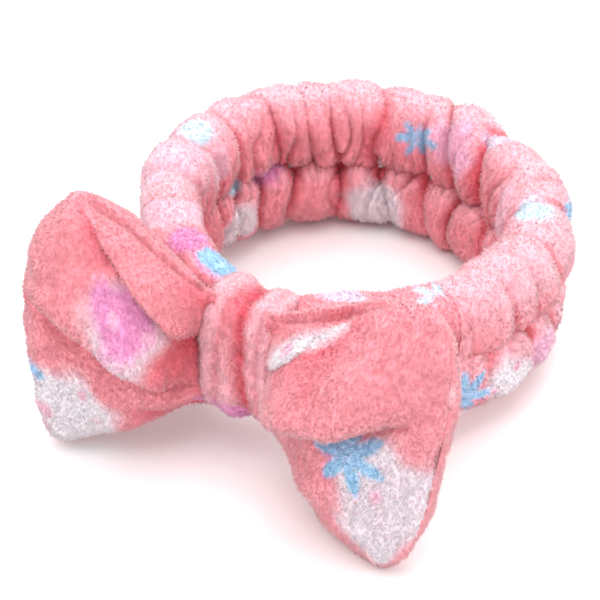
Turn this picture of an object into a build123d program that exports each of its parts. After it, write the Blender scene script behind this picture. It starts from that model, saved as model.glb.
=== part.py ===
from build123d import *
from math import cos, degrees, radians, sin
import os

# A relaxed plush spa headband: a smooth front band, a gathered sleeve with elastic in it round the back, and
# a two-wing bow held on the front by a wrapped knot. Millimetres, +Z up. The origin is the middle of the
# head opening, on the plane that the band's rear edge and the bow's two lower corners rest on. The bow faces
# -Y, and the wearer's head fills the ring.

# Band: the mid-line is a circle, tipped up a little at the front by the bow that props it.
RING_RADIUS = 66
BAND_TILT = 4.5            # degrees, front up
FRONT_HALF_ANGLE = 56      # degrees from the front's middle to each side seam

# Gathered sleeve: two puffed lobes, one over the other, with a furrow where the elastic is sewn.
LOBE_HEIGHT = 35
LOBE_THICKNESS = 33
LOBE_OFFSET = 12.5         # each lobe's centre, above and below the mid-line
SLEEVE_SEAM_INSET = 2.5    # seam thread, in from the sleeve's lower edge

# Elastic and thread
ELASTIC_WIDTH = 8
ELASTIC_THICKNESS = 1.5
THREAD = 0.8               # thickness of a row of stitches
TACK_LENGTH = 2.5          # bar tack that holds an end of the elastic
JOIN_GAP = 0.3             # between the side seams and the sleeve, which moves away when stretched

# Front band: two fleece strips sewn together along the top and bottom edges.
FRONT_HEIGHT = 54
STRIP_THICKNESS = 6
FRONT_EDGE_RADIUS = 5.5
EDGE_SEAM_INSET = 3

# Knot and the bow's waist inside it
KNOT_WIDTH = 28
KNOT_ROUNDING = 9          # corners of the wrap's loop
KNOT_EDGE_ROUNDING = 2.5   # the wrap's left and right rims
WRAP_THICKNESS = 3
WAIST_THICKNESS = 12
WAIST_HEIGHT = 44
WAIST_ROUNDING = 4
BINDING_WIDTH = 5          # several turns of thread side by side
TACK_SPACING = 24          # between the two hand stitches behind the knot

# Wings: each is a filled pouch that grows from the pinched neck to a straight sewn end.
WING_REACH = {"left": 57, "right": 68}       # hinge to end; the left wing is curled in more
WING_FORWARD = {"left": 28, "right": 15}     # degrees forwards of the line across the front
WING_LEAN = 10             # degrees, lower edge forwards
WING_RISE = 7.5            # the end's middle above the neck's middle
NECK_RADIUS = 6.5
NECK_GAP = 1.2             # between the neck and the knot
NECK_HEIGHT = 42
END_HEIGHT = 98
END_THICKNESS = 9
BULGE_THICKNESS = 27       # thickest place, part of the way along
BULGE_PLACE = 0.5          # share of the reach
WING_WALL = 3              # fleece
WING_SEAM_INSET = 1.4
FILLING_START = 8          # the filling begins this far from the hinge

FRONT_OUTER_RADIUS = RING_RADIUS + STRIP_THICKNESS
FRONT_INNER_RADIUS = RING_RADIUS - STRIP_THICKNESS
BAND_HALF_HEIGHT = LOBE_OFFSET + LOBE_HEIGHT / 2
# The tilted rear lobe's lowest point lies on z = 0.
RISE, RUN = sin(radians(BAND_TILT)), cos(radians(BAND_TILT))
LOBE_DROP = ((LOBE_HEIGHT / 2 * RUN) ** 2 + (LOBE_THICKNESS / 2 * RISE) ** 2) ** 0.5
BAND_CENTRE_Z = RING_RADIUS * RISE + LOBE_OFFSET * RUN + LOBE_DROP
BAND = Location((0, 0, BAND_CENTRE_Z), (-BAND_TILT, 0, 0))

THREAD_ANGLE = degrees(THREAD / RING_RADIUS)
FRONT_START = -90 - FRONT_HALF_ANGLE
FRONT_ANGLE = 2 * FRONT_HALF_ANGLE
SLEEVE_START = FRONT_HALF_ANGLE - 90 + THREAD_ANGLE + degrees(JOIN_GAP / RING_RADIUS)
SLEEVE_ANGLE = 180 - 2 * SLEEVE_START

WAIST_Y = -(FRONT_OUTER_RADIUS + WAIST_THICKNESS / 2)
KNOT_FRONT_Y = WAIST_Y - WAIST_THICKNESS / 2 - WRAP_THICKNESS
KNOT_BACK_Y = -(FRONT_INNER_RADIUS ** 2 - (KNOT_WIDTH / 2) ** 2) ** 0.5 + WRAP_THICKNESS
KNOT_HEIGHT = FRONT_HEIGHT + 2 * WRAP_THICKNESS
HINGE_X = KNOT_WIDTH / 2 + NECK_GAP + NECK_RADIUS


def band_point(radius, z):
    """A place on the band's cross-section: its radius from the ring's axis and its height on the band."""
    return Plane.XZ * Pos(radius, z)


def around(section, start, angle):
    """Carries a cross-section round the ring from the start angle, counted from +X."""
    return Rot(Z=start) * revolve(section, Axis.Z, angle)


def thread_round(radius, z, start, angle):
    return around(band_point(radius, z) * Circle(THREAD / 2), start, angle)


def front_section(inset=0):
    width = 2 * (STRIP_THICKNESS - inset)
    corner = FRONT_EDGE_RADIUS - inset
    return band_point(RING_RADIUS, 0) * RectangleRounded(width, FRONT_HEIGHT - 2 * inset, corner)


def front_solid():
    return around(front_section(), FRONT_START, FRONT_ANGLE)


def front_strips(cutters):
    """The outer strip and the lining: the front band split along its mid-line, less what is sewn into it."""
    split = Cylinder(RING_RADIUS, 2 * FRONT_HEIGHT)
    whole = front_solid() - cutters
    return {"front_band_outer": whole - split, "front_band_lining": whole & split}


def edge_seams():
    height = FRONT_HEIGHT / 2 - EDGE_SEAM_INSET
    return {
        "front_top_seam": thread_round(RING_RADIUS, height, FRONT_START, FRONT_ANGLE),
        "front_bottom_seam": thread_round(RING_RADIUS, -height, FRONT_START, FRONT_ANGLE)}


def side_seams():
    """A hoop of stitches round the end of the front band on each side."""
    hoop = front_section() - front_section(THREAD)
    return {
        "left_side_seam": around(hoop, FRONT_START - THREAD_ANGLE, THREAD_ANGLE),
        "right_side_seam": around(hoop, FRONT_START + FRONT_ANGLE, THREAD_ANGLE)}


def elastic_end_tacks():
    """A bar tack just inside each end of the front band, in line with the elastic."""
    section = band_point(RING_RADIUS, 0) * Rectangle(ELASTIC_THICKNESS, ELASTIC_WIDTH)
    angle = degrees(TACK_LENGTH / RING_RADIUS)
    return [around(section, FRONT_START, angle), around(section, FRONT_START + FRONT_ANGLE - angle, angle)]


def sleeve_pieces():
    """The gathered sleeve, and the elastic and threads that run inside it."""
    lobes = [band_point(RING_RADIUS, side * LOBE_OFFSET) * Ellipse(LOBE_THICKNESS / 2, LOBE_HEIGHT / 2)
             for side in (1, -1)]
    furrow = LOBE_THICKNESS / 2 * (1 - (2 * LOBE_OFFSET / LOBE_HEIGHT) ** 2) ** 0.5
    strip = band_point(RING_RADIUS, 0) * Rectangle(ELASTIC_THICKNESS, ELASTIC_WIDTH)
    inner = {
        "elastic_band": around(strip, SLEEVE_START, SLEEVE_ANGLE),
        "stitch_line_outer": thread_round(RING_RADIUS + furrow, 0, SLEEVE_START, SLEEVE_ANGLE),
        "stitch_line_inner": thread_round(RING_RADIUS - furrow, 0, SLEEVE_START, SLEEVE_ANGLE),
        "sleeve_tube_seam": thread_round(
            RING_RADIUS, SLEEVE_SEAM_INSET - BAND_HALF_HEIGHT, SLEEVE_START, SLEEVE_ANGLE)}
    sleeve = around(lobes[0] + lobes[1], SLEEVE_START, SLEEVE_ANGLE)
    return {"gathered_sleeve": sleeve - list(inner.values())} | inner


def waist_section(inset=0):
    size = (WAIST_THICKNESS - 2 * inset, WAIST_HEIGHT - 2 * inset)
    return Plane.YZ * Pos(WAIST_Y, 0) * RectangleRounded(*size, WAIST_ROUNDING - inset)


def waist_pieces():
    """The bow's pinched centre, and the thread wound round its middle."""
    binding = extrude(waist_section() - waist_section(THREAD), BINDING_WIDTH / 2, both=True)
    waist = extrude(waist_section(), KNOT_WIDTH / 2, both=True)
    return {"bow_waist": waist - binding, "waist_binding": binding}


def knot_tacks():
    """Two hand stitches from the back of the knot into the lining."""
    middle = (KNOT_BACK_Y - FRONT_INNER_RADIUS) / 2
    stitch = Rot(X=90) * Cylinder(THREAD / 2, 2 * WRAP_THICKNESS)
    return [Pos(0, middle, side * TACK_SPACING / 2) * stitch for side in (1, -1)]


def knot_pieces(tacks):
    """The wrap, a loop that fits round the front band and the waist, and the seam that closes it behind."""
    loop = RectangleRounded(KNOT_BACK_Y - KNOT_FRONT_Y, KNOT_HEIGHT, KNOT_ROUNDING)
    place = Plane.YZ * Pos((KNOT_BACK_Y + KNOT_FRONT_Y) / 2, 0)
    block = extrude(place * loop, KNOT_WIDTH / 2, both=True)
    block = fillet(block.faces().filter_by(Axis.X).edges(), KNOT_EDGE_ROUNDING)
    thread = Rot(Y=90) * Cylinder(THREAD / 2, KNOT_WIDTH - 2 * WRAP_THICKNESS)
    seam = Pos(0, KNOT_BACK_Y - WRAP_THICKNESS / 2, 0) * thread
    waist = extrude(waist_section(), KNOT_WIDTH / 2, both=True)
    for cutter in (front_solid(), waist, seam, *tacks):
        block -= cutter
    return {"knot_wrap": block, "knot_wrap_seam": seam}


def between(low, high, share):
    return low + (high - low) * share


def pouch(reach, inset, start=0):
    """A leaning wing from start to its end, grown from ellipses across it, each side set in by inset."""
    bulge = reach * BULGE_PLACE
    start_thickness = between(2 * NECK_RADIUS, BULGE_THICKNESS, start / bulge)
    sections = []
    for x, thickness in ((start, start_thickness), (bulge, BULGE_THICKNESS), (reach - inset, END_THICKNESS)):
        height = between(NECK_HEIGHT, END_HEIGHT, x / reach)
        outline = Ellipse(thickness / 2 - inset, height / 2 - inset)
        sections.append(Plane.YZ.offset(x) * Pos(0, WING_RISE * x / reach) * outline)
    return Rot(X=-WING_LEAN) * loft(sections)


def edge_hoop(reach):
    """A row of stitches just inside the wing's edge, on its middle plane."""
    outer = pouch(reach, WING_SEAM_INSET, NECK_RADIUS)
    inner = pouch(reach, WING_SEAM_INSET + THREAD, NECK_RADIUS - THREAD)
    slab = Rot(X=-WING_LEAN) * Box(3 * reach, THREAD, 3 * END_HEIGHT)
    return (outer - inner) & slab


def wing_pieces(side):
    """One wing on the right of its hinge, lying along +X: fleece front and back, filling and edge seam."""
    reach = WING_REACH[side]
    filling = pouch(reach, WING_WALL, FILLING_START)
    seam = edge_hoop(reach)
    neck = Cylinder(NECK_RADIUS, NECK_HEIGHT - 2 * NECK_RADIUS)
    skin = pouch(reach, 0) + neck - filling - seam
    half = Box(3 * reach, END_HEIGHT, 3 * END_HEIGHT)
    front = Rot(X=-WING_LEAN) * Pos(0, -END_HEIGHT / 2, 0) * half
    return {
        f"{side}_wing_front": skin & front,
        f"{side}_wing_back": skin - front,
        f"{side}_wing_filling": filling,
        f"{side}_wing_edge_seam": seam}


def placed_wing(side):
    """Swings a wing into its place beside the knot, mirrored for the left."""
    hinge = (BAND * Pos(HINGE_X, WAIST_Y, 0)).position
    place = Pos(hinge) * Rot(Z=-WING_FORWARD[side])
    pieces = {name: place * piece for name, piece in wing_pieces(side).items()}
    if side == "left":
        pieces = {name: mirror(piece, Plane.YZ) for name, piece in pieces.items()}
    return pieces


def band_pieces():
    """Everything sewn to the band itself, in the band's own level frame."""
    seams = edge_seams()
    tacks = knot_tacks()
    ends = elastic_end_tacks()
    pieces = front_strips([*seams.values(), *tacks, *ends]) | seams | side_seams()
    pieces |= waist_pieces() | knot_pieces(tacks) | sleeve_pieces()
    pieces["knot_tack_stitches"] = Compound(tacks)
    pieces["elastic_end_tacks"] = Compound(ends)
    return pieces


os.makedirs("parts", exist_ok=True)
model = {name: BAND * piece for name, piece in band_pieces().items()}
model |= placed_wing("left") | placed_wing("right")
for name, piece in model.items():
    export_step(piece, f"parts/{name}.step")
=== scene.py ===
import math

import bpy
import numpy as np
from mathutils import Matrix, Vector


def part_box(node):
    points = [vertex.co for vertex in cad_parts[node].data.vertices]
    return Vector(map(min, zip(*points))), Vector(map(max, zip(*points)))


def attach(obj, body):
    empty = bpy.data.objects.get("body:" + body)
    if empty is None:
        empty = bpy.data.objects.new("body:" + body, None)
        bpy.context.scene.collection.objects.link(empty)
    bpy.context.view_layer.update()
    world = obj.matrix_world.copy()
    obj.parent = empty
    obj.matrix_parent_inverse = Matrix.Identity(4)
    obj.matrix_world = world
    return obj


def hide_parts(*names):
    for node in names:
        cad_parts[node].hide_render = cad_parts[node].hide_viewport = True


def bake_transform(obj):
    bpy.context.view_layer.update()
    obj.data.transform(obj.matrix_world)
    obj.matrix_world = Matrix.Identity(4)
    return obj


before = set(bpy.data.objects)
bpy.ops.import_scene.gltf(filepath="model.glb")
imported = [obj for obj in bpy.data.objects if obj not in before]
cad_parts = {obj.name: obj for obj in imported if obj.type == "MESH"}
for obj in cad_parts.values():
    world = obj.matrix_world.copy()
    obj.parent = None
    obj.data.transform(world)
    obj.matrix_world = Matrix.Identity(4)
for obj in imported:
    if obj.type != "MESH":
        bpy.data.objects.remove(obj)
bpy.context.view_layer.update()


# ---- The front band
# Two strips of coral fleece sewn together along the top and bottom edges and turned right side out, so the
# edges are soft rolls. It lies flat across the forehead, and the bow props it a little above the rear.

BAND_TILT = math.radians(4.5)
BAND_MIDDLE = 0.03513                       # height of the ring's centre above the floor
OUTER_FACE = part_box("stitch_line_outer")[1].x
RING = (OUTER_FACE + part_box("stitch_line_inner")[1].x) / 2
FRONT_HALF_ANGLE = math.radians(56)
FRONT_HEIGHT = 0.052
FRONT_THICKNESS = 0.0125


def tipped(x, y, z):
    """The ring's own x, y and z to the row frame: turned by the tilt about x, front up, then raised."""
    cosine, sine = math.cos(BAND_TILT), math.sin(BAND_TILT)
    return np.stack([x, y * cosine + z * sine, z * cosine - y * sine + BAND_MIDDLE], -1)


def on_band(radius, angle, height):
    """Ring coordinates to the row frame: x and y are the radius times the angle's cosine and sine."""
    x, y = radius * np.cos(angle), radius * np.sin(angle)
    return tipped(x, y, height + 0 * x)


def smooth(low, high, value):
    """0 below low, 1 above high, and 3t^2 - 2t^3 between."""
    t = np.clip((value - low) / (high - low), 0, 1)
    return t * t * (3 - 2 * t)


def unit(vectors):
    """Each vector over its own length."""
    return vectors / np.maximum(np.linalg.norm(vectors, axis=-1, keepdims=True), 1e-9)


def unevenness(points, size, seed):
    """Soft noise of about -1 to 1: a sum of cosines of random direction and phase, each about size long."""
    rng, number = np.random.default_rng(seed), 14
    waves = unit(rng.normal(size=(number, 3)))
    waves *= rng.uniform(0.6, 1.6, (number, 1)) * 2 * math.pi / size
    return np.cos(points @ waves.T + rng.uniform(0, 2 * math.pi, number)).sum(-1) / number ** 0.5


def normals_of(grid, loop):
    """The unit normal at each grid point, outwards: the difference along crossed with the one across."""
    along = np.gradient(grid, axis=0)
    across = np.roll(grid, -1, 1) - np.roll(grid, 1, 1) if loop else np.gradient(grid, axis=1)
    return unit(np.cross(along, across))


def linked(name, data):
    """A new object of a mesh, lamp or camera, put in the scene."""
    piece = bpy.data.objects.new(name, data)
    bpy.context.scene.collection.objects.link(piece)
    return piece


def tube(name, grid, colours, closed_ends=True):
    """A closed skin from a grid of rings: quads between neighbours, and each end ring zipped shut across.
    Without closed ends, the last ring joins the first instead. The print, with any painted shade and
    highlight mixed into its colours, is kept as an attribute."""
    rings, points = grid.shape[:2]
    spans = rings - 1 if closed_ends else rings
    row, column = np.meshgrid(np.arange(spans), np.arange(points), indexing="ij")
    after, beside = (row + 1) % rings, (column + 1) % points
    quads = np.stack([row * points + column, after * points + column,
                      after * points + beside, row * points + beside], -1).reshape(-1, 4)
    half, last_ring = points // 2, (rings - 1) * points
    step = np.arange(1, half - 1)
    zips = np.stack([step, step + 1, -(step + 1) % points, -step % points], -1)
    tips = np.array([[0, 1, points - 1], [half - 1, half, half + 1]])
    faces = quads.tolist()
    if closed_ends:
        for part in (zips, tips):
            faces += part.tolist() + (part[:, ::-1] + last_ring).tolist()
    mesh = bpy.data.meshes.new(name)
    mesh.from_pydata(grid.reshape(-1, 3).tolist(), [], faces)
    mesh.validate()
    mesh.polygons.foreach_set("use_smooth", np.ones(len(mesh.polygons), bool))
    rgba = np.concatenate([colours, np.ones(colours.shape[:2] + (1,))], -1).astype(np.float32)
    mesh.attributes.new("print", "FLOAT_COLOR", "POINT").data.foreach_set("color", rgba.ravel())
    return linked(name, mesh)


def resting(grid, softness=0.0012):
    """Lift what would sink into the floor: z becomes (z + (z^2 + softness^2)^0.5) / 2."""
    z = grid[..., 2]
    return np.concatenate([grid[..., :2], ((z + np.sqrt(z ** 2 + softness ** 2)) / 2)[..., None]], -1)


CORAL = np.array([0.92, 0.32, 0.37])
# Painted shade: how much the coral is darkened where a crease, fold or groove is at its deepest.
PAINTED_SHADE_LOSS = np.array([0.15, 0.74, 0.68])    # what a full hollow takes from the coral
WHITE, BLUSH, ROSE = np.array([0.88, 0.81, 0.86]), np.array([0.95, 0.54, 0.65]), np.array([0.95, 0.50, 0.68])
MAGENTA, LAVENDER = np.array([0.86, 0.31, 0.58]), np.array([0.86, 0.70, 0.90])
BLUE, SKY = np.array([0.33, 0.62, 0.90]), np.array([0.62, 0.82, 0.95])


def dab(colours, points, centre, size, paint, seed):
    """Print a soft-edged patch: the distance from its centre over its size, made uneven, fades it out."""
    away = np.linalg.norm((points - centre) / size, axis=-1) + 0.13 * unevenness(points, 0.016, seed)
    return colours + (paint - colours) * 0.94 * (1 - smooth(0.58, 1.14, away))[..., None]


def berry(colours, points, centre, size, paint, dots, seed):
    """Print a berry: a pale halo, the body inside it, and a scatter of dots."""
    size = np.broadcast_to(size, 3)
    colours = dab(colours, points, centre, size * 1.02, WHITE, seed)
    colours = dab(colours, points, np.add(centre, (0.0012, 0.0016, 0)), size * 0.88, paint, seed + 1)
    for spot in np.random.default_rng(seed).uniform(-0.62, 0.62, (9, 3)):
        colours = dab(colours, points, centre + spot * size, size * 0.15 + 0.0006, dots, seed)
    return colours


def sprig(colours, points, centre, across, upward, size, paint):
    """Print leaves fanned out from a point: each is what lies within 0.2 sin(pi t)^0.7 of its own line."""
    for turn in np.radians([-150, -95, -45, 0, 50, 100, 155]):
        line = np.array(across) * math.sin(turn) + np.array(upward) * math.cos(turn)
        run = np.clip((points - centre) @ line / size, 0.001, 0.999)
        off = np.linalg.norm((points - centre) / size - run[..., None] * line, axis=-1)
        inside = 0.20 * np.sin(math.pi * run) ** 0.7 - off
        colours = colours + (paint - colours) * 0.92 * smooth(-0.05, 0.11, inside)[..., None]
    return colours


def bumped(material, texture, scale, strength, distance):
    """Add a texture of the object's own coordinates as a bump, and return the texture's node."""
    nodes, links = material.node_tree.nodes, material.node_tree.links
    place, pattern, bump = nodes.new("ShaderNodeTexCoord"), nodes.new(texture), nodes.new("ShaderNodeBump")
    pattern.inputs["Scale"].default_value = scale
    bump.inputs["Strength"].default_value = strength
    bump.inputs["Distance"].default_value = distance
    links.new(place.outputs["Object"], pattern.inputs["Vector"])
    links.new(pattern.outputs["Fac"], bump.inputs["Height"])
    links.new(bump.outputs["Normal"], nodes["Principled BSDF"].inputs["Normal"])
    return pattern


def fleece(name):
    """The cloth under the pile: the print's colour with its painted shade and highlight, a knotty bump, and
    the pale sheen of fibre ends.
    """
    material = bpy.data.materials.new(name)
    material.use_nodes = True
    nodes, links = material.node_tree.nodes, material.node_tree.links
    shader = nodes["Principled BSDF"]
    print_and_painted_light = nodes.new("ShaderNodeAttribute")
    print_and_painted_light.attribute_name = "print"
    links.new(print_and_painted_light.outputs["Color"], shader.inputs["Base Color"])
    bumped(material, "ShaderNodeTexNoise", 650, 0.5, 0.0008).inputs["Detail"].default_value = 3
    shader.inputs["Roughness"].default_value = 0.95
    shader.inputs["Specular IOR Level"].default_value = 0.15
    shader.inputs["Sheen Weight"].default_value = 0.5
    shader.inputs["Sheen Roughness"].default_value = 0.5
    shader.inputs["Sheen Tint"].default_value = (1.0, 0.86, 0.88, 1)
    return material


def fibre(name, colour):
    """Polyester fibre of one shade from the list of the print's dyes and the coral's painted lit and shaded
    tones: matt, with a faint pale sheen along its edges.
    """
    material = bpy.data.materials.new(name)
    material.use_nodes = True
    shader = material.node_tree.nodes["Principled BSDF"]
    shader.inputs["Base Color"].default_value = (*colour, 1)
    shader.inputs["Roughness"].default_value = 0.9
    shader.inputs["Specular IOR Level"].default_value = 0.2
    shader.inputs["Sheen Weight"].default_value = 0.5
    shader.inputs["Sheen Tint"].default_value = (1.0, 0.90, 0.91, 1)
    return material


# Besides the print's dyes, light coral, pale coral and shell are the coral's painted highlight tones, and
# rose, deep rose and wine its painted shade tones.
PALE_CORAL = np.array([0.97, 0.50, 0.57])
DYES_AND_PAINTED_TONES = {"coral": CORAL, "light coral": (0.95, 0.40, 0.46), "pale coral": PALE_CORAL,
        "shell": (0.98, 0.62, 0.68), "rose": (0.93, 0.27, 0.33), "deep rose": (0.88, 0.18, 0.23),
        "wine": (0.78, 0.10, 0.14), "white": WHITE, "off-white": (0.91, 0.68, 0.76), "blush": BLUSH,
        "magenta": MAGENTA, "pink": ROSE, "lavender": LAVENDER, "blue": BLUE, "sky": SKY}
SHADES = np.array(list(DYES_AND_PAINTED_TONES.values()))
band_fleece = fleece("band fleece")
fibres = [fibre("fibre " + name, shade) for name, shade in DYES_AND_PAINTED_TONES.items()]
NAP, SPREAD = (0, 0, -0.60), 0.60           # how far the pile leans down, and every way, over its length


def pile(name, grid, colours, count, length, seed):
    """Fibre tufts on a skin, placed evenly by area. Each is a closed spike with a three-cornered foot just
    under the surface, and a tip that follows the normal, the downward nap and its own lean. Its normals are
    the cloth's own, a little shaken, and its shade is the one nearest to the skin's colour where it grows,
    print and painted shade and highlight together."""
    rng = np.random.default_rng(seed)
    corner = grid[:-1]
    beside, below = np.roll(grid, -1, 1)[:-1] - corner, grid[1:] - corner
    area = np.cumsum(np.linalg.norm(np.cross(beside, below), axis=-1).ravel())
    row, column = np.divmod(np.searchsorted(area, rng.random(count) * area[-1]), grid.shape[1])
    foot = corner[row, column] + rng.random((count, 1)) * beside[row, column]
    foot += rng.random((count, 1)) * below[row, column]
    normal = normals_of(grid, True)[row, column]
    lean = rng.normal(0, SPREAD, (count, 3))
    lean += 0.35 * unevenness(foot, 0.02, seed)[:, None] * rng.normal(size=3) + NAP
    stand = unit(normal + lean - (lean * normal).sum(1, keepdims=True) * normal)
    side = unit(np.cross(stand, rng.normal(size=(count, 3))))
    turn = (2 * math.pi / 3 * np.arange(3))[None, :, None]
    foot_ring = np.cos(turn) * side[:, None] + np.sin(turn) * np.cross(stand, side)[:, None]
    size = length * rng.uniform(0.65, 1.2, (count, 1))
    points = np.concatenate([(foot - 0.0003 * normal)[:, None] + foot_ring * size[:, None] * 0.20,
                             (foot + stand * size)[:, None]], 1)
    points[..., 2] = np.maximum(points[..., 2], 0.0001)
    faces = np.array([[0, 1, 3], [1, 2, 3], [2, 0, 3], [2, 1, 0]]) + 4 * np.arange(count)[:, None, None]
    mesh = bpy.data.meshes.new(name)
    mesh.from_pydata(points.reshape(-1, 3).tolist(), [], faces.reshape(-1, 3).tolist())
    mesh.polygons.foreach_set("use_smooth", np.ones(len(mesh.polygons), bool))
    for material in fibres:
        mesh.materials.append(material)
    # Painted highlight: each tuft is painted about 5% lighter than the skin under it, for the sheen of fibre
    # tips.
    wanted = colours[row, column] * rng.normal(1.05, 0.030, (count, 1))
    nearest = np.argmin(((wanted[:, None] - SHADES[None]) ** 2).sum(-1), 1)
    mesh.polygons.foreach_set("material_index", np.repeat(nearest, 4).astype(np.int32))
    soft = unit(normal + rng.normal(0, 0.10, (count, 3)))
    mesh.normals_split_custom_set_from_vertices(np.repeat(soft, 4, 0).tolist())
    piece = linked(name, mesh)
    return piece


def stadium(share, height, thickness):
    """Round a flat strip's section, from the outside's middle: over the top, down the inside and back up."""
    radius = thickness / 2
    straight = height / 2 - radius
    quarter = math.pi * radius / 2
    half = 2 * (straight + quarter)
    length = np.abs((share * 2 + 1) % 2 - 1) * half
    side = np.where((share % 1) < 0.5, 1.0, -1.0)
    arc = np.clip((length - straight) / radius, 0, math.pi)
    inner = np.maximum(length - straight - 2 * quarter, 0)
    across = radius * np.cos(arc)
    up = np.minimum(length, straight) + radius * np.sin(arc) - inner
    return across, side * up


TUCK = 0.01                                 # how far the front's ends reach into the sleeve, in radians
front_angle = np.linspace(-FRONT_HALF_ANGLE - TUCK, FRONT_HALF_ANGLE + TUCK, 200)[:, None] - math.pi / 2
front_share = np.linspace(0, 1, 140, endpoint=False)[None]
from_middle = np.abs(front_angle + math.pi / 2) * RING
pinch = 1 - 0.30 * np.exp(-(from_middle / 0.017) ** 2)
plump = 1 + 0.65 * smooth(0.015, 0.065, from_middle)
across, up = stadium(front_share, FRONT_HEIGHT, FRONT_THICKNESS)
front_grid = on_band(RING + across * plump, front_angle, up * pinch)
front_grid += normals_of(front_grid, True) * 0.0009 * unevenness(front_grid, 0.018, 4)[..., None]
front_print = np.broadcast_to(CORAL, front_grid.shape)
front_print = dab(front_print, front_grid, (-0.055, -0.040, 0.060), (0.019, 0.019, 0.024), BLUSH, 71)
front_print = dab(front_print, front_grid, (-0.035, -0.055, 0.065), 0.0075, MAGENTA, 72)
front_print = dab(front_print, front_grid, (-0.020, -0.060, 0.065), (0.010, 0.008, 0.006), BLUE, 73)
front_print = dab(front_print, front_grid, (0.025, -0.055, 0.065), (0.009, 0.006, 0.006), LAVENDER, 74)
front_print = sprig(front_print, front_grid, (0.055, -0.040, 0.065),
                    (0.6, 0.8, 0), (0.75, -0.55, 0.3), 0.012, SKY)
front_print = sprig(front_print, front_grid, (0.045, -0.060, 0.030), (0.8, 0.6, 0), (0, 0, 1), 0.013, SKY)
front_print = berry(front_print, front_grid, (-0.045, -0.060, 0.030), 0.013, WHITE, ROSE, 76)
front_print = dab(front_print, front_grid, (0.010, -0.055, 0.030), 0.010, MAGENTA, 77)
front_band = tube("front_band_fleece", front_grid, front_print)
front_band.data.materials.append(band_fleece)
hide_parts("front_band_outer", "front_band_lining", "front_top_seam", "front_bottom_seam")
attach(front_band, "front")
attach(pile("front_band_pile", front_grid, front_print, 40000, 0.0014, 41), "front")


# ---- The gathered sleeve
# A fleece tube about half as long again as the elastic that runs through it. The elastic is sewn down along
# the middle of both faces, so the tube puffs into an upper and a lower roll, gathered into soft pleats.

SLEEVE_LAP = 0.012                          # how far the sleeve's ends reach over the front, in radians
SLEEVE_START = FRONT_HALF_ANGLE - math.pi / 2 - SLEEVE_LAP
SLEEVE_END = math.pi - SLEEVE_START
ROLL_OFFSET, UPPER_HALF_HEIGHT, LOWER_HALF_HEIGHT = 0.0125, 0.0188, 0.0158
OUTER_HALF_THICKNESS, INNER_HALF_THICKNESS = 0.0150, 0.0098
FURROW_DEPTH, FURROW_WIDTH = 0.0050, 0.0028
FLAT_HEIGHT, FLAT_THICKNESS = 0.053, 0.0195     # where the sleeve meets the front band
CREASE_DEPTH, PLEAT_DEPTH = 0.0170, 0.0180      # for a gap of one radian


def creases(place, gaps, seed):
    """Where cloth is caught up between puffs. Lines lie along place, gaps apart, and depth is |2t - 1|^2.6,
    with t the way between two lines: 1 on a line and 0 half way. Also returns each spot's line and gap."""
    rng = np.random.default_rng(seed)
    lines = SLEEVE_START - 0.5 + np.cumsum(rng.uniform(*gaps, 400))
    gap = np.searchsorted(lines, place) - 1
    width = lines[gap + 1] - lines[gap]
    t = (place - lines[gap]) / width
    return np.abs(2 * t - 1) ** 2.6, gap + (t > 0.5), width


def gathered(angle, over, points, side, seed):
    """Depth below the puffs' tops. Wide creases cross the roll, each fading by its own amount on the crest.
    Narrower ones start at both furrows, and the inner face has the most."""
    edge = np.abs(2 * over - 1)
    warp = 0.055 * unevenness(points, 0.050, seed) + side * 0.20 * (over - 0.5)
    wide, line, width = creases(angle + warp, (0.17, 0.36), seed)
    kept = np.random.default_rng(seed + 1).uniform(0.10, 1.0, 500)[line]
    depth = CREASE_DEPTH * width * wide * (kept + (1.15 - kept) * edge ** 1.4)
    warp = 0.05 * unevenness(points, 0.03, seed + 2) - side * 0.15 * over
    middling, line, width = creases(angle + warp, (0.09, 0.20), seed + 3)
    kept = np.random.default_rng(seed + 4).uniform(0, 1.0, 500)[line]
    depth += PLEAT_DEPTH * width * middling * kept * (edge ** 2 + 0.55 * smooth(0.55, 0.8, over))
    warp = 0.03 * unevenness(points, 0.02, seed + 5)
    fine, line, width = creases(angle + warp, (0.05, 0.11), seed + 6)
    return depth + CREASE_DEPTH * width * fine * edge ** 4


sleeve_angle = np.linspace(SLEEVE_START, SLEEVE_END, 570)[:, None]
sleeve_share = np.linspace(0, 1, 170, endpoint=False)[None]
over = np.where(sleeve_share < 0.5, sleeve_share * 2, 2 - sleeve_share * 2)
roll_side = np.where(sleeve_share < 0.5, 1.0, -1.0)
half_height = np.where(roll_side > 0, UPPER_HALF_HEIGHT, LOWER_HALF_HEIGHT)
dip = np.arcsin(ROLL_OFFSET / half_height)
turn = over * (math.pi + 2 * dip) - dip
roll_across = np.where(np.cos(turn) > 0, OUTER_HALF_THICKNESS, INNER_HALF_THICKNESS) * np.cos(turn)
roll_up = roll_side * (half_height * np.sin(turn) + ROLL_OFFSET)
roll_across -= np.sign(np.cos(turn)) * FURROW_DEPTH * np.exp(-np.abs(roll_up) / FURROW_WIDTH)
flat_across, flat_up = stadium(np.where(roll_side > 0, over / 2, 1 - over / 2), FLAT_HEIGHT, FLAT_THICKNESS)
from_seam = np.minimum(sleeve_angle - SLEEVE_START, SLEEVE_END - sleeve_angle) * RING
full_outside, full_inside = smooth(0, 0.042, from_seam), smooth(0, 0.085, from_seam)
fullness = full_outside + (full_inside - full_outside) * smooth(0.4, 0.6, over)
sleeve_across = flat_across + (roll_across - flat_across) * fullness
sleeve_up = flat_up + (roll_up - flat_up) * fullness
smooth_sleeve = on_band(RING + sleeve_across, sleeve_angle, sleeve_up)
sleeve_normal = normals_of(smooth_sleeve, True)
sunk = np.where(roll_side > 0, gathered(sleeve_angle, over, smooth_sleeve, 1, 11),
                gathered(sleeve_angle, over, smooth_sleeve, -1, 31))
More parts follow.
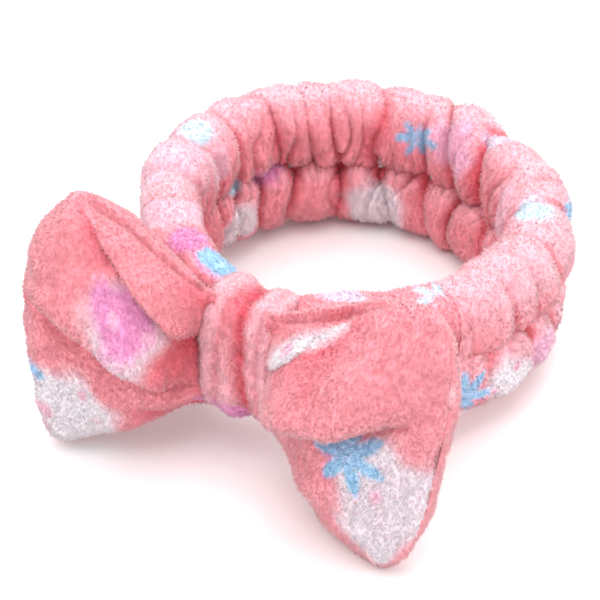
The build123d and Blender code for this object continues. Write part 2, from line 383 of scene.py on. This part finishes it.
puff = 0.0014 + 0.0011 * unevenness(smooth_sleeve, 0.030, 7) + 0.0003 * unevenness(smooth_sleeve, 0.009, 8)
settled = 0.15 + 0.85 * smooth(0.002, 0.03, from_seam)
sleeve_grid = smooth_sleeve + sleeve_normal * ((puff - sunk) * settled)[..., None]
overhang = 0.0022 * np.exp(-np.abs(sleeve_up) / 0.006) * (sleeve_across < 0) * (roll_side > 0) * fullness
sleeve_grid[..., 2] -= overhang * (1 + 0.7 * unevenness(smooth_sleeve, 0.02, 9))
sleeve_grid = resting(sleeve_grid)
# Painted shade: the coral is darkened in the creases between the puffs and along both furrows, where shade
# falls.
furrow_shade = 0.30 * np.exp(-np.abs(sleeve_up) / 0.0020) * fullness
crease_shade = np.clip(np.clip((sunk - 0.0012) / 0.0045, 0, 1) * settled + furrow_shade, 0, 1)
sleeve_print_and_painted_light = CORAL * (1 - crease_shade[..., None] * PAINTED_SHADE_LOSS)
# Painted highlight: the upward faces and the outside are painted paler, towards pale coral, where the light
# falls on them.
facing = sleeve_normal[..., 2] + 0.5 * (1 - smooth(0.3, 0.6, over))
painted_highlight = 0.75 * smooth(0.15, 0.9, facing) * (1 - np.clip(crease_shade * 2, 0, 1))     # paler on top and outside
sleeve_print_and_painted_light += (PALE_CORAL - sleeve_print_and_painted_light) * painted_highlight[..., None]


def on_sleeve(degrees, share_over, upper):
    """The point on a roll at an angle round the ring and a share of the way over, from outside to inside."""
    way_round = (math.radians(degrees) - SLEEVE_START) / (SLEEVE_END - SLEEVE_START)
    row = round(way_round * (len(sleeve_angle) - 1))
    column = round((share_over / 2 if upper else 1 - share_over / 2) * sleeve_share.size)
    return smooth_sleeve[row, column % sleeve_share.size]


for degrees, share_over, upper, size, paint, seed in (
        (195, 0.25, True, 0.024, BLUSH, 81), (210, 0.50, False, 0.011, ROSE, 82),
        (180, 0.50, True, 0.007, SKY, 83), (165, 0.75, False, 0.011, WHITE, 84),
        (165, 1.00, False, 0.006, SKY, 85), (180, 0.75, True, 0.008, BLUSH, 86),
        (150, 1.00, True, 0.010, MAGENTA, 87), (75, 0.75, True, 0.012, ROSE, 90),
        (60, 0.50, True, 0.008, LAVENDER, 91), (30, 0.75, True, 0.012, BLUSH, 92),
        (15, 0.50, True, 0.009, SKY, 93), (0, 0.25, False, 0.011, ROSE, 95),
        (90, 0.25, True, 0.011, LAVENDER, 96), (60, 0.25, False, 0.010, MAGENTA, 97),
        (135, 0.25, True, 0.012, WHITE, 98), (120, 0.25, False, 0.009, SKY, 100)):
    # Painted shade: a patch is darkened too where it lies in a crease.
    centre, shaded_paint = on_sleeve(degrees, share_over, upper), paint * (1 - 0.25 * crease_shade[..., None])
    sleeve_print_and_painted_light = dab(sleeve_print_and_painted_light, smooth_sleeve, centre, size, shaded_paint, seed)
for degrees, share_over, upper, size, seed in (
        (105, 0.75, False, 0.014, 101), (-15, 0.25, False, 0.011, 102),
        (75, 0.25, True, 0.014, 103), (165, 0.25, False, 0.013, 104)):
    centre = on_sleeve(degrees, share_over, upper)
    sleeve_print_and_painted_light = berry(sleeve_print_and_painted_light, smooth_sleeve, centre, size, WHITE, ROSE, seed)
for degrees, share_over, upper, size in (
        (90, 0.75, True, 0.011), (-30, 0.25, False, 0.013), (30, 0.25, True, 0.014),
        (105, 0.25, True, 0.015), (150, 0.25, True, 0.014), (90, 0.25, False, 0.013)):
    centre = on_sleeve(degrees, share_over, upper)
    round_ring = (-math.sin(math.radians(degrees)), math.cos(math.radians(degrees)), 0)
    sleeve_print_and_painted_light = sprig(sleeve_print_and_painted_light, smooth_sleeve, centre, round_ring, (0, 0, 1), size, BLUE)
sleeve = tube("gathered_sleeve_fleece", sleeve_grid, sleeve_print_and_painted_light)
sleeve.data.materials.append(band_fleece)
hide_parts("gathered_sleeve")


def stretching(piece):
    """Bake a piece's placement into its mesh."""
    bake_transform(piece)


stretching(sleeve)
half_way = sleeve_grid.shape[0] // 2
for side, half, seed in (("right", slice(None, half_way + 1), 42), ("left", slice(half_way, None), 43)):
    stretching(pile("sleeve_pile_" + side, sleeve_grid[half], sleeve_print_and_painted_light[half], 49000, 0.0015, seed))


# ---- The elastic and the sewing
# A woven elastic 8 mm wide runs inside the sleeve, sewn to it by a row of lockstitch along both furrows. The
# sleeve's own seam runs along its underside, and a round of stitches joins it to the band at each side.

ELASTIC_WIDTH, ELASTIC_THICKNESS = 0.008, 0.0015
ELASTIC_INSET = 0.03                        # from the sleeve's ends to the elastic's, in radians
THREAD_RADIUS, THREAD_ARCH = 0.0004, 0.0003


def woven(name):
    """Woven elastic: white, with fine lengthwise ribs as a bump."""
    material = fibre(name, (0.88, 0.87, 0.86))
    bumped(material, "ShaderNodeTexWave", 260, 0.6, 0.0003).bands_direction = "Z"
    return material


def twisted(name, colour):
    """Polyester sewing thread: two plies wound round each other show as slanting bands across it."""
    material = fibre(name, colour)
    bumped(material, "ShaderNodeTexWave", 900, 1.0, 0.0002).bands_direction = "DIAGONAL"
    return material


rib_elastic, coral_thread = woven("ribbed elastic"), twisted("coral thread", (0.86, 0.30, 0.34))
elastic_angle = np.linspace(SLEEVE_START + ELASTIC_INSET, SLEEVE_END - ELASTIC_INSET, 200)[:, None]
elastic_share = np.linspace(0, 1, 24, endpoint=False)[None]
elastic_across, elastic_up = stadium(elastic_share, ELASTIC_WIDTH, ELASTIC_THICKNESS)
elastic_grid = on_band(RING + elastic_across, elastic_angle, elastic_up)
elastic = tube("rib_elastic", elastic_grid, np.ones(elastic_grid.shape))
elastic.data.materials.append(rib_elastic)
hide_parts("elastic_band")
stretching(elastic)


def stitches(name, path, outward, pitch=0.0035):
    """A row of stitches along a path. Each is a six-sided length of thread, 0.8 of the pitch long. Its rise
    above the cloth goes as sin(pi t), and its thickness as that to the power 0.4."""
    run = np.concatenate([[0], np.cumsum(np.linalg.norm(np.diff(path, axis=0), axis=1))])
    number = int(run[-1] / pitch)
    t = np.linspace(0.02, 0.98, 7)
    spot = (np.arange(number)[:, None] + 0.1 + 0.8 * t) * pitch
    middle = np.stack([np.interp(spot, run, path[:, k]) for k in range(3)], -1)
    out = np.stack([np.interp(spot, run, outward[:, k]) for k in range(3)], -1)
    ahead = np.gradient(middle, axis=1)
    side = unit(np.cross(ahead, out))
    arch = np.sin(math.pi * t)[None, :, None]
    middle = middle + out * THREAD_ARCH * arch
    turn = (math.pi / 3 * np.arange(6))[None, None, :, None]
    ring = np.cos(turn) * out[:, :, None] + np.sin(turn) * side[:, :, None]
    points = middle[:, :, None] + THREAD_RADIUS * arch[..., None] ** 0.4 * ring
    row, corner = np.meshgrid(np.arange(6), np.arange(6), indexing="ij")
    beside = (corner + 1) % 6
    here, after = row * 6, (row + 1) * 6
    walls = np.stack([here + beside, after + beside, after + corner, here + corner], -1).reshape(-1, 4)
    caps = np.array([[3, 2, 1, 0], [0, 5, 4, 3], [36, 37, 38, 39], [39, 40, 41, 36]])
    faces = np.concatenate([walls, caps]) + 42 * np.arange(number)[:, None, None]
    mesh = bpy.data.meshes.new(name)
    mesh.from_pydata(points.reshape(-1, 3).tolist(), [], faces.reshape(-1, 4).tolist())
    mesh.polygons.foreach_set("use_smooth", np.ones(len(mesh.polygons), bool))
    mesh.materials.append(coral_thread)
    piece = linked(name, mesh)
    return piece


CLEAR = slice(12, -12)                      # the sleeve's rings that are clear of its two ends
sleeve_out = normals_of(sleeve_grid, True)
for name, column, node in (("outer_stitching", 0, "stitch_line_outer"),
                           ("inner_stitching", 85, "stitch_line_inner"),
                           ("tube_seam_stitching", 124, "sleeve_tube_seam")):
    sewing = stitches(name, sleeve_grid[CLEAR, column], sleeve_out[CLEAR, column])
    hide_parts(node)
    stretching(sewing)
for side, row in (("left", 1), ("right", -2)):
    hoop = np.concatenate([front_grid[row], front_grid[row, :1]])
    hoop_out = normals_of(front_grid, True)[row]
    seam = stitches(side + "_side_stitching", hoop, np.concatenate([hoop_out, hoop_out[:1]]))
    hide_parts(side + "_side_seam")
    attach(seam, "front")
tacks = bpy.data.objects["elastic_end_tacks"].data.materials
tacks.clear()
tacks.append(coral_thread)


# ---- The bow's wings
# Each wing is a closed fleece pouch, wide at its end and gathered to a neck under the knot, loosely filled.
# The cloth rolls over itself from the neck outwards, and the ends stay soft and rounded.

WING_ROWS, WING_POINTS = 230, 206
HINGE_Y, HINGE_HEIGHT = -0.0778, 0.0413
NECK_HEIGHT, FANNING = 0.044, 0.058         # a wing's height under the knot, and what it gains by its end
HALF_END = 0.045                            # the unit of height that dents are placed in


def rolled(gap, radius, reach):
    """A rolled edge seen end on: a quarter circle of the radius, rising from the line, then a slow fall."""
    rise = np.sqrt(1 - (1 - np.clip(gap / radius, 0, 1)) ** 2)
    return (gap > 0) * rise * np.exp(-np.maximum(gap - radius, 0) / reach)


def groove(away, width):
    """A groove seen end on: exp(1 - (1 + (d/w)^2)^0.5), which is 1 at its slightly rounded bottom."""
    return np.exp(1 - np.hypot(away / width, 1))


def wing_sheet(side, reach, fan, forward, curl, corners, folds, dents, seed):
    """A wing's grid. Along runs 0 to 1 from the knot to the end, and b runs -1 to 1 from the bottom edge to
    the top. Thickness is a pillow's, (1 - |b|^2.6)^0.5 times its growth from the neck. Each fold is a rolled
    edge that follows a line of b and hangs over the cloth below it: b at the neck and at the end, strength,
    start and stop along, and face, 1 or -1. Each dent is a groove along a straight line: along and height
    where it starts and ends, depth, width and face. Also returns the colours before the print, the coral
    with painted shade under each fold's roll and along each dent, and the grid laid flat, where the print
    is placed."""
    along = np.linspace(0, 1, WING_ROWS)[:, None]
    turn = np.linspace(0, 2 * math.pi, WING_POINTS, endpoint=False)[None]
    b = np.sin(turn)
    face = np.where(np.cos(turn) >= 0, 1.0, -1.0)
    spread = np.where(b > 0, smooth(-0.25, fan[0], along), smooth(-0.25, fan[1], along))
    height = NECK_HEIGHT + FANNING * spread
    (top_back, top_drop), (bottom_back, bottom_rise) = corners
    height = height * (1 - np.where(b > 0, top_drop, bottom_rise) * smooth(0.80, 1.04, along) ** 2)
    pillow = (1 - np.abs(b) ** 2.6) ** 0.5
    swell = (0.010 + 0.024 * smooth(0, 0.45, along)) * (1 - smooth(0.45, 1.15, along) * 0.55)
    end_round = (1 - 0.998 * np.clip((along - 0.90) / 0.10, 0, 1) ** 2.2) ** 0.5
    lift, sag, crease_shade = 0 * along + 0 * b, 0 * along + 0 * b, 0 * along + 0 * b
    for b_neck, b_end, strength, start, stop, layer in folds:
        line = b_neck + (b_end - b_neck) * along ** 0.5
        run = smooth(start - 0.12, start + 0.05, along) * (1 - smooth(stop - 0.30, stop + 0.05, along))
        run = run * (face == layer)
        gap = (b - line) * height / 2
        under = 1 - smooth(-0.0015, 0.0015, gap)
        overhang = rolled(gap + 0.001, 0.006, 0.022) - 0.8 * under * np.exp(np.minimum(gap, 0) / 0.011)
        lift += strength * run * smooth(0.02, 0.26, along) * overhang
        sag += strength * 0.75 * run * rolled(gap + 0.002, 0.003, 0.008)
        # Painted shade on the cloth under the overhanging roll.
        crease_shade += 1.5 * run * under * np.exp(np.minimum(gap, 0) / 0.0050)
    for a_from, b_from, a_to, b_to, depth, width, layer in dents:
        start_point = np.array([a_from * reach, b_from * HALF_END])
        line = np.array([a_to * reach, b_to * HALF_END]) - start_point
        spot = np.stack([along * reach + 0 * b, b * height / 2 + 0 * along], -1) - start_point
        share = np.clip(spot @ line / (line ** 2).sum(), 0, 1)
        away = np.linalg.norm(spot - share[..., None] * line, axis=-1)
        dent = groove(away, width) * (1 - 0.7 * share) * (face == layer)
        lift -= depth * dent
        # Painted shade along the groove.
        crease_shade += dent ** 2 * min(depth / 0.003, 0.8)
    cut_back = top_back * np.clip(b, 0, 1) ** 2.8 + bottom_back * np.clip(-b, 0, 1) ** 2.8
    x = along * reach * (1 - cut_back * along ** 2)
    y = -face * (swell / 2 * pillow * end_round + lift * end_round * (0.03 + 0.97 * pillow))
    z = b * height / 2 + 0.010 * along - sag
    bend = forward + curl * along
    step_x = np.gradient(x, axis=0)
    x_bent = np.cumsum(np.cos(bend) * step_x, 0)
    y_bent = -np.cumsum(np.sin(bend) * step_x, 0)
    lean = math.radians(10) * smooth(0, 0.6, along)
    y, z = y * np.cos(lean) + z * np.sin(lean), z * np.cos(lean) - y * np.sin(lean)
    grid = np.stack([x_bent + y * np.sin(bend), y_bent + y * np.cos(bend), z + 0 * x], -1)
    loose = unevenness(grid * (1, 1, 1.6), 0.030, seed) * 0.0010 + unevenness(grid, 0.012, seed + 1) * 0.0003
    loose *= smooth(0, 0.1, along) * (0.3 + 0.7 * pillow)
    grid += normals_of(grid, True) * loose[..., None]
    grid[..., 0] *= side
    grid = resting(grid + np.array([side * 0.010, HINGE_Y, HINGE_HEIGHT]))
    flat = np.stack([along * reach + 0 * b, b * 0.048 + 0 * along, 0 * x - face * 0.02], -1)
    return grid, CORAL * (1 - np.clip(crease_shade, 0, 1)[..., None] * PAINTED_SHADE_LOSS), flat


def neck_pleats(seed, reach):
    """Short dents fanning out from the neck on both faces, where the cloth is gathered under the knot."""
    rng = np.random.default_rng(seed)
    return [(0.0, b, reach * rng.uniform(0.6, 1.2), b * 1.5, rng.uniform(0.0012, 0.0024), 0.0018, face)
            for face in (1, -1) for b in (-0.75, -0.42, -0.12, 0.2, 0.5, 0.8)]


right_folds = [(0.02, 0.34, 0.0135, 0.03, 0.92, 1), (0.46, 1.16, 0.0105, 0.03, 0.66, 1),
               (0.1, -0.2, 0.005, 0.0, 0.8, -1)]
right_dents = neck_pleats(51, 0.28) + [(0.35, 0.95, 0.55, 0.30, 0.0040, 0.0070, 1),
                                       (0.0, -0.15, 0.40, -0.35, 0.0040, 0.0040, 1)]
right_grid, right_print_and_painted_shade, right_flat = wing_sheet(
    side=1, reach=0.076, fan=(0.85, 0.85), forward=math.radians(14), curl=math.radians(8),
    corners=((0.10, 0.03), (0.04, 0.22)), folds=right_folds, dents=right_dents, seed=5)
OFF_WHITE = np.array([0.82, 0.70, 0.77])
right_print_and_painted_shade = berry(right_print_and_painted_shade, right_flat, (0.025, 0.040, -0.02), (0.013, 0.007, 0.02), WHITE, ROSE, 61)
right_print_and_painted_shade = berry(right_print_and_painted_shade, right_flat, (0.065, -0.020, -0.02), (0.019, 0.026, 0.02),
                    OFF_WHITE, ROSE, 62)
right_print_and_painted_shade = sprig(right_print_and_painted_shade, right_flat, (0.050, -0.005, -0.02), (1, 0, 0), (0, 1, 0), 0.016, BLUE)
right_print_and_painted_shade = dab(right_print_and_painted_shade, right_flat, (0.080, 0.025, 0.01), (0.005, 0.012, 0.03), WHITE, 63)
right_wing = tube("right_wing_fleece", right_grid, right_print_and_painted_shade)
left_folds = [(-0.30, 0.36, 0.0125, 0.02, 1.05, 1), (0.42, 1.04, 0.0110, 0.02, 0.85, 1),
              (-0.75, -0.6, 0.0030, 0.0, 0.5, 1), (0.1, -0.2, 0.005, 0.0, 0.8, -1)]
left_dents = neck_pleats(52, 0.28) + [(0.03, 0.15, 0.75, 0.42, 0.0050, 0.0090, 1),
                                      (0.0, -0.55, 0.45, -0.66, 0.0050, 0.0035, 1)]
left_grid, left_print_and_painted_shade, left_flat = wing_sheet(
    side=-1, reach=0.066, fan=(0.80, 1.15), forward=math.radians(15), curl=math.radians(24),
    corners=((0.30, 0.06), (0.05, 0.06)), folds=left_folds, dents=left_dents, seed=6)
left_print_and_painted_shade = berry(left_print_and_painted_shade, left_flat, (0.030, 0.020, -0.02), (0.016, 0.013, 0.02), MAGENTA, ROSE, 64)
left_print_and_painted_shade = berry(left_print_and_painted_shade, left_flat, (0.055, -0.035, -0.02), (0.020, 0.024, 0.02), WHITE, ROSE, 65)
left_print_and_painted_shade = dab(left_print_and_painted_shade, left_flat, (0.065, -0.015, -0.02), 0.0040, BLUE, 66)
left_print_and_painted_shade = dab(left_print_and_painted_shade, left_flat, (0.005, -0.035, -0.02), 0.007, MAGENTA, 67)
left_grid, left_print_and_painted_shade = left_grid[:, ::-1], left_print_and_painted_shade[:, ::-1]      # mirrored, so turned to face outwards
left_wing = tube("left_wing_fleece", left_grid, left_print_and_painted_shade)
for side, sign, skin, grid, colours in (("right", 1, right_wing, right_grid, right_print_and_painted_shade),
                                        ("left", -1, left_wing, left_grid, left_print_and_painted_shade)):
    skin.data.materials.append(band_fleece)
    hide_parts(side + "_wing_front", side + "_wing_back",
                side + "_wing_filling", side + "_wing_edge_seam")
    for piece in (skin, pile(side + "_wing_pile", grid, colours, 49000, 0.0014, 44 + sign)):
        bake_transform(piece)


# ---- The knot
# A short strip of fleece wrapped round the bow's waist and the front band, bunched into soft pleats.

KNOT_WIDTH = 0.029
KNOT_Y = -0.0688                            # the loop's middle, in the ring's own coordinates
KNOT_PLEATS = ((-0.0062, 0.0026, 0.0022, 0.0024), (0.0030, 0.0048, 0.0024, 0.0030),
               (0.0095, 0.0018, 0.0014, 0.0010))        # each one's place, depth, width and drift
loop_turn = np.linspace(0, 2 * math.pi, 220, endpoint=False)[:, None]
strip_turn = np.linspace(0, 2 * math.pi, 84, endpoint=False)[None]
towards_front = 0.5 - 0.5 * np.cos(loop_turn)
path_y = 0.0132 * np.sign(np.cos(loop_turn)) * np.abs(np.cos(loop_turn)) ** 0.66
path_z = (0.0165 + 0.0100 * towards_front) * np.sign(np.sin(loop_turn)) * np.abs(np.sin(loop_turn)) ** 0.75
loop_path = np.concatenate([0 * path_y, path_y, path_z], 1)
loop_run = np.roll(loop_path, -1, 0) - np.roll(loop_path, 1, 0)
loop_out = np.stack([0 * loop_run[:, 0], loop_run[:, 2], -loop_run[:, 1]], -1)
loop_out = unit(loop_out)
outside = np.cos(strip_turn)
waisted = 1 - 0.10 * towards_front * np.abs(np.sin(loop_turn)) ** 2
strip_x = KNOT_WIDTH / 2 * np.sign(np.sin(strip_turn)) * np.abs(np.sin(strip_turn)) ** 0.85 * waisted
bulge = np.where(outside > 0, 0.0050 * np.abs(outside) ** 0.6, -0.0015 * np.abs(outside) ** 0.7)
knot_pleats = sum(depth * groove(strip_x - place - drift * np.sin(loop_turn + place * 900), width)
                  for place, depth, width, drift in KNOT_PLEATS)
rise = bulge - np.where(outside > 0, knot_pleats * np.clip(outside * 2, 0, 1), 0)
knot_level = loop_path[:, None] + loop_out[:, None] * rise[..., None]
knot_level[..., 0] += strip_x
knot_level[..., 1] += KNOT_Y
knot_grid = tipped(*np.moveaxis(knot_level, -1, 0))
knot_grid += normals_of(knot_grid, True) * 0.0004 * unevenness(knot_grid, 0.010, 31)[..., None]
# Painted light: the knot's coral is mixed towards pale coral, a painted sheen, and darkened in its pleats, a
# painted shade.
knot_crease_shade = np.clip((np.where(outside > 0, knot_pleats, 0) - 0.0018) / 0.0030, 0, 1)
knot_print_and_painted_light = (0.3 * CORAL + 0.7 * PALE_CORAL) * (1 - knot_crease_shade[..., None] * PAINTED_SHADE_LOSS)
knot_print_and_painted_light = dab(knot_print_and_painted_light, knot_grid, (-0.002, -0.088, 0.017), (0.012, 0.02, 0.010), MAGENTA, 68)
knot = tube("knot_fleece", knot_grid, knot_print_and_painted_light, closed_ends=False)
knot.data.materials.append(band_fleece)
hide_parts("knot_wrap", "knot_wrap_seam", "knot_tack_stitches", "bow_waist", "waist_binding")
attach(knot, "front")
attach(pile("knot_pile", knot_grid, knot_print_and_painted_light, 26000, 0.0013, 46), "front")


# ---- The studio
# A pale floor, soft light from above and from all round, and a long lens looking down over the bow.

bpy.ops.mesh.primitive_plane_add(size=6, location=(0, 0, 0))
floor = bpy.context.object
floor.name = "floor"
paper = bpy.data.materials.new("paper")
paper.use_nodes = True
paper_shader = paper.node_tree.nodes["Principled BSDF"]
paper_shader.inputs["Base Color"].default_value = (0.93, 0.93, 0.93, 1)
paper_shader.inputs["Roughness"].default_value = 0.9
floor.data.materials.append(paper)


def lamp(name, place, power, size):
    """A square soft light at place, turned to the headband."""
    light = bpy.data.lights.new(name, "AREA")
    light.energy, light.size = power, size
    holder = linked(name, light)
    holder.location = place
    holder.rotation_euler = Vector(place).to_track_quat("Z", "Y").to_euler()


lamp("key", (-0.7, -0.7, 1.1), 3, 0.7)
lamp("top", (-0.1, 0.1, 1.5), 15, 1.3)
lamp("side", (1.2, 0.2, 0.9), 5, 0.9)
lamp("rear", (-0.2, 0.9, 1.2), 4, 1.0)
world = bpy.data.worlds.new("studio")
world.use_nodes = True
sky_light = world.node_tree.nodes["Background"]
sky_light.inputs["Color"].default_value = (1, 1, 1, 1)
sky_light.inputs["Strength"].default_value = 1.05
bpy.context.scene.world = world
bpy.context.scene.view_settings.view_transform = "Standard"

AZIMUTH, ELEVATION, DISTANCE = math.radians(28.7), math.radians(40.6), 0.70
aim = Vector((-0.0214, 0.0018, 0.0003))
level = math.cos(ELEVATION)
back = Vector((math.sin(AZIMUTH) * level, -math.cos(AZIMUTH) * level, math.sin(ELEVATION)))
lens = bpy.data.cameras.new("camera")
lens.lens, lens.sensor_width, lens.clip_start = 106.8, 36, 0.01
camera = linked("camera", lens)
camera.location = aim + DISTANCE * back
camera.rotation_euler = back.to_track_quat("Z", "Y").to_euler()
bpy.context.scene.camera = camera
